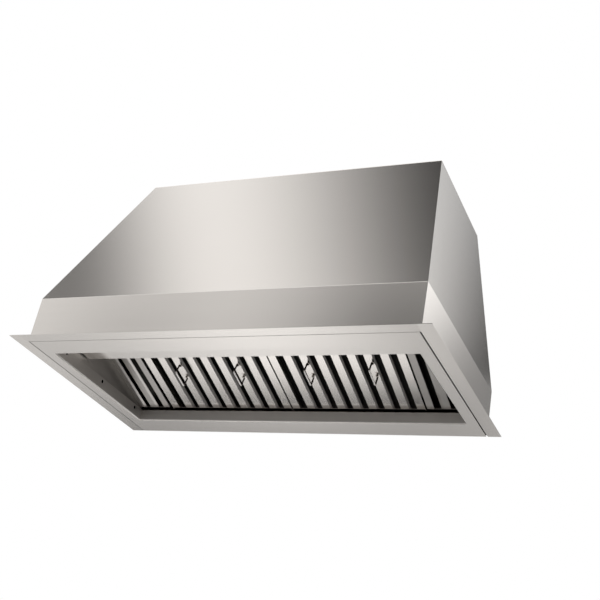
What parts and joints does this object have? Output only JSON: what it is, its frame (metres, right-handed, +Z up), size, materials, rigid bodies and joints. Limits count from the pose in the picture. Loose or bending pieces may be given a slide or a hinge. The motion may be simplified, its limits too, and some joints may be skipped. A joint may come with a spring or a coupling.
{
  "type": "range hood insert",
  "caption": "Built-in range hood insert: folded steel body with an edge flange, sloped lift-out baffle filters with wire bails, a blower and a top duct collar.",
  "frame": {"origin": "middle of the outline on the underside of the flange", "axes": "+X to the right seen from the front, +Y from the front towards the wall, +Z up"},
  "size_m": [0.9144, 0.508, 0.5466],
  "materials": {
    "shell": "brushed, horizontal grain",
    "ring": "brushed",
    "inner": "satin",
    "slats": "brushed along the slats",
    "wire": "polished",
    "zinc": "zinc coated sheet",
    "alloy": "plain",
    "motor": "black enamel",
    "lens": "frosted",
    "button": "gloss",
    "plastic": "matte",
    "screw": "plated"
  },
  "bodies": {
    "hood": {"front_panel": "shell", "side_panel_left": "shell", "side_panel_right": "shell", "back_panel": "shell", "top_panel": "shell", "mouth_ring": "ring", "light_panel": "ring", "lamp_bezels": "ring", "button_plate": "ring", "liner_left": "inner", "liner_right": "inner", "infill_left": "inner", "infill_right": "inner", "rear_shelf": "inner", "blower_scroll": "zinc", "blower_cheek_left": "zinc", "blower_cheek_right": "zinc", "outlet_plate": "zinc", "duct_collar": "zinc", "wiring_box": "zinc", "wiring_cover": "zinc", "motor_bracket": "zinc", "damper_rod": "zinc", "lamp_housings": "alloy", "motor": "motor", "lamp_lenses": "lens", "switch_block": "plastic", "cable_gland": "plastic", "back_screws": "screw", "collar_screws": "screw"},
    "filter_left": {"filter_frame_left": "inner", "lower_slats_left": "slats", "upper_slats_left": "slats", "bail_clips_left": "slats"},
    "filter_right": {"filter_frame_right": "inner", "lower_slats_right": "slats", "upper_slats_right": "slats", "bail_clips_right": "slats"},
    "bail_left_outer": {"bail_left_outer": "wire"},
    "bail_left_inner": {"bail_left_inner": "wire"},
    "bail_right_inner": {"bail_right_inner": "wire"},
    "bail_right_outer": {"bail_right_outer": "wire"},
    "damper_front": {"damper_flap_front": "zinc"},
    "damper_rear": {"damper_flap_rear": "zinc"},
    "wheel": {"blower_wheel": "alloy", "motor_shaft": "zinc"},
    "button_1": {"push_button_1": "button"},
    "button_2": {"push_button_2": "button"},
    "button_3": {"push_button_3": "button"},
    "button_4": {"push_button_4": "button"}
  },
  "joints": [
    {"name": "filter_left_lift", "type": "slide", "parent": "hood", "child": "filter_left", "axis": [0, 0, 1], "range_m": [0, 0.025]},
    {"name": "filter_right_lift", "type": "slide", "parent": "hood", "child": "filter_right", "axis": [0, 0, 1], "range_m": [0, 0.025]},
    {"name": "bail_left_outer_swing", "type": "hinge", "parent": "filter_left", "child": "bail_left_outer", "pos_m": [-0.22335, 0.05681, 0.06331], "axis": [0, 0.9578, -0.2874], "range_deg": [-85, 85]},
    {"name": "bail_left_inner_swing", "type": "hinge", "parent": "filter_left", "child": "bail_left_inner", "pos_m": [-0.07805, 0.05681, 0.06331], "axis": [0, 0.9578, -0.2874], "range_deg": [-85, 85]},
    {"name": "bail_right_outer_swing", "type": "hinge", "parent": "filter_right", "child": "bail_right_outer", "pos_m": [0.23415, 0.05681, 0.06331], "axis": [0, 0.9578, -0.2874], "range_deg": [-85, 85]},
    {"name": "bail_right_inner_swing", "type": "hinge", "parent": "filter_right", "child": "bail_right_inner", "pos_m": [0.08885, 0.05681, 0.06331], "axis": [0, 0.9578, -0.2874], "range_deg": [-85, 85]},
    {"name": "damper_front_swing", "type": "hinge", "parent": "hood", "child": "damper_front", "pos_m": [0, 0.116, 0.506], "axis": [-1, 0, 0], "range_deg": [0, 80]},
    {"name": "damper_rear_swing", "type": "hinge", "parent": "hood", "child": "damper_rear", "pos_m": [0, 0.116, 0.506], "axis": [1, 0, 0], "range_deg": [0, 80]},
    {"name": "wheel_spin", "type": "hinge", "parent": "hood", "child": "wheel", "pos_m": [0, 0.029, 0.32], "axis": [1, 0, 0], "continuous": true},
    {"name": "button_1_press", "type": "slide", "parent": "hood", "child": "button_1", "axis": [0, 0, 1], "range_m": [0, 0.002], "stiffness_N_per_m": 400, "springref_m": -0.002},
    {"name": "button_2_press", "type": "slide", "parent": "hood", "child": "button_2", "axis": [0, 0, 1], "range_m": [0, 0.002], "stiffness_N_per_m": 400, "springref_m": -0.002},
    {"name": "button_3_press", "type": "slide", "parent": "hood", "child": "button_3", "axis": [0, 0, 1], "range_m": [0, 0.002], "stiffness_N_per_m": 400, "springref_m": -0.002},
    {"name": "button_4_press", "type": "slide", "parent": "hood", "child": "button_4", "axis": [0, 0, 1], "range_m": [0, 0.002], "stiffness_N_per_m": 400, "springref_m": -0.002}
  ]
}
